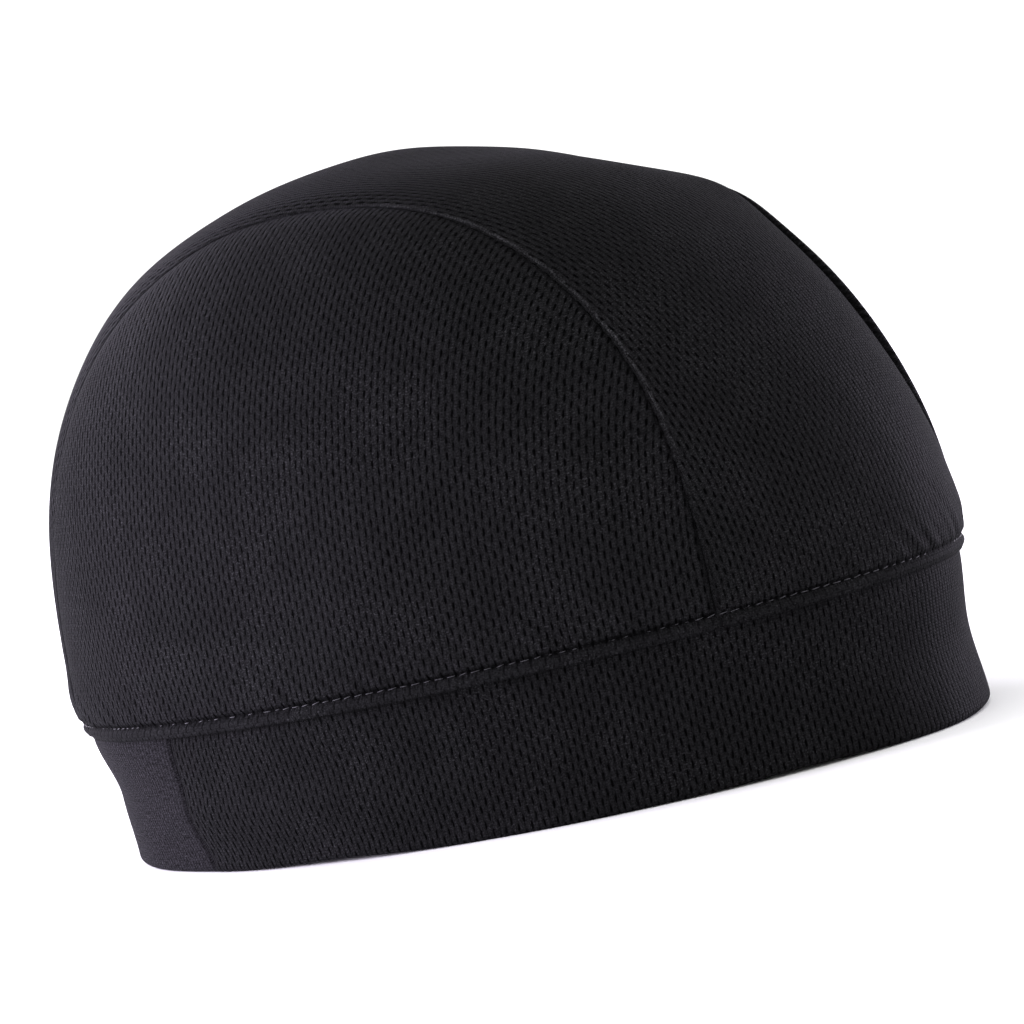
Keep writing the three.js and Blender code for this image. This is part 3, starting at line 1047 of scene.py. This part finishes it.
sideKnit = knitMaterial("black side mesh knit", meshKnit)
centreKnit = knitMaterial("black centre mesh knit", {
    **meshKnit,
    "thread": (0.0082, 0.0081, 0.0088),
    "columnPitch": 1.2,
    "holeLeast": 0.5,
    "rearWidening": 0.2,
    "seamWidening": 0.9,
    "rearPaintedLight": 1.3,
    "plainEdge": 0.4,
    "paintedSeamShade": 0.0,
    "edgeWidth": 0.75,
    "edgeShine": 2.6,
})
bandKnit = knitMaterial("black band mesh knit", {
    **meshKnit,
    "thread": (0.0076, 0.0075, 0.0082),
    "paintedSeamShade": -0.2,
    "paintedCreaseShade": 1.0,
})
elasticRib = ribMaterial("charcoal elastic rib", elasticKnit)
stitchThread = threadMaterial("grey polyester thread", topstitch)

centreCloth = centrePanelCloth("centreCloth")
centreCloth.data.materials.append(centreKnit)
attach(centreCloth, "root")
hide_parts("centre_panel")
print("centre panel made")

for name, side, node in (("leftCloth", 1, "side_panel_left"), ("rightCloth", -1, "side_panel_right")):
    cloth = sidePanelCloth(name, side)
    cloth.data.materials.append(sideKnit)
    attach(cloth, "root")
    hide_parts(node)
for name, side in (("leftAllowance", 1), ("rightAllowance", -1)):
    strip = seamAllowance(name, side)
    strip.data.materials.append(sideKnit)
    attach(strip, "root")
print("side panels made")

elasticHalf = headband["elasticHalfAngle"]
elasticEnds = np.interp([180 - elasticHalf, 180 + elasticHalf], ringAngles, ringLengths)
elasticColumns = int((elasticEnds[1] - elasticEnds[0]) / headband["elasticStep"])
bandPiece = bandCloth("headbandCloth", elasticHalf - 180, 180 - elasticHalf, 0, headband["columns"])
bandPiece.data.materials.append(bandKnit)
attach(bandPiece, "root")
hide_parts("headband")
elasticPiece = bandCloth("rearElasticCloth", 180 - elasticHalf, 180 + elasticHalf, 180, elasticColumns)
elasticPiece.data.materials.append(elasticRib)
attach(elasticPiece, "root")
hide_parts("rear_elastic")
print("headband and rear elastic made")

for name, inset, facing in (("topstitching", 0.0, 1), ("underStitching", topstitch["innerInset"], -1)):
    stitches = topstitchRow(name, inset, facing)
    stitches.data.materials.append(stitchThread)
    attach(stitches, "root")
print("topstitching made")

# Studio: pale floor and white surround, with low soft lights at the cap's side, rear and far side
studio = {
    "floorRadius": 6.0,
    "floorTone": 0.95,
    "surround": 1.24,
    "lightColour": (0.88, 0.81, 1.0),
    "aim": (0, 0, 0.06),
    # name, place, width, height, power
    "lights": [
        ("sideLight", (-1.38, -0.80, 0.32), 1.2, 0.55, 77.0),
        ("rearLight", (-1.50, 0.55, 0.75), 0.9, 0.4, 26.0),
        ("rimLight", (0.62, 1.46, 0.10), 1.0, 0.18, 40.0),
    ],
}
bm = bmesh.new()
bmesh.ops.create_circle(bm, cap_ends=True, segments=64, radius=studio["floorRadius"])
floorMesh = bpy.data.meshes.new("floor")
bm.to_mesh(floorMesh)
bm.free()
floor = bpy.data.objects.new("floor", floorMesh)
scene.collection.objects.link(floor)
floorPaint = bpy.data.materials.new("pale floor")
floorPaint.use_nodes = True
floorShader = floorPaint.node_tree.nodes["Principled BSDF"]
floorShader.inputs["Base Color"].default_value = (*[studio["floorTone"]] * 3, 1)
floorShader.inputs["Roughness"].default_value = 0.9
floorMesh.materials.append(floorPaint)

world = bpy.data.worlds.new("white surround")
world.use_nodes = True
world.node_tree.nodes["Background"].inputs[0].default_value = (1, 1, 1, 1)
world.node_tree.nodes["Background"].inputs[1].default_value = studio["surround"]
scene.world = world
for name, place, width, height, power in studio["lights"]:
    lightData = bpy.data.lights.new(name, "AREA")
    lightData.shape = "RECTANGLE"
    lightData.size = width
    lightData.size_y = height
    lightData.energy = power
    lightData.color = studio["lightColour"]
    light = bpy.data.objects.new(name, lightData)
    light.location = place
    light.rotation_euler = (Vector(studio["aim"]) - light.location).to_track_quat("-Z", "Y").to_euler()
    light.visible_camera = False
    scene.collection.objects.link(light)
scene.view_settings.view_transform = "Standard"

# Camera at the photograph's angle, with its roll
view = {
    "azimuth": 35.0,
    "elevation": 3.87,
    "roll": -12.66,
    "distance": 1.1,
    "focalPixels": 5638.0,
    "imagePixels": 1024,
    "sensorWidth": 36,
    "right": 0.0013,
    "up": 0.05306,
    "moveX": 0.0048,
}
azimuth, elevation, roll = (math.radians(view[key]) for key in ("azimuth", "elevation", "roll"))
level = math.cos(elevation)
back = Vector((math.sin(azimuth) * level, -math.cos(azimuth) * level, math.sin(elevation)))
right = Vector((math.cos(azimuth), math.sin(azimuth), 0))
up = back.cross(right)
rolledRight = right * math.cos(roll) + up * math.sin(roll)
rolledUp = up * math.cos(roll) - right * math.sin(roll)
target = right * view["right"] + up * view["up"] + Vector((view["moveX"], 0, 0))
cameraData = bpy.data.cameras.new("camera")
cameraData.sensor_width = view["sensorWidth"]
cameraData.lens = view["focalPixels"] / view["imagePixels"] * view["sensorWidth"]
camera = bpy.data.objects.new("camera", cameraData)
turned = Matrix((rolledRight, rolledUp, back)).transposed().to_4x4()
camera.matrix_world = Matrix.Translation(target + back * view["distance"]) @ turned
scene.collection.objects.link(camera)
scene.camera = camera
print("studio and camera set")
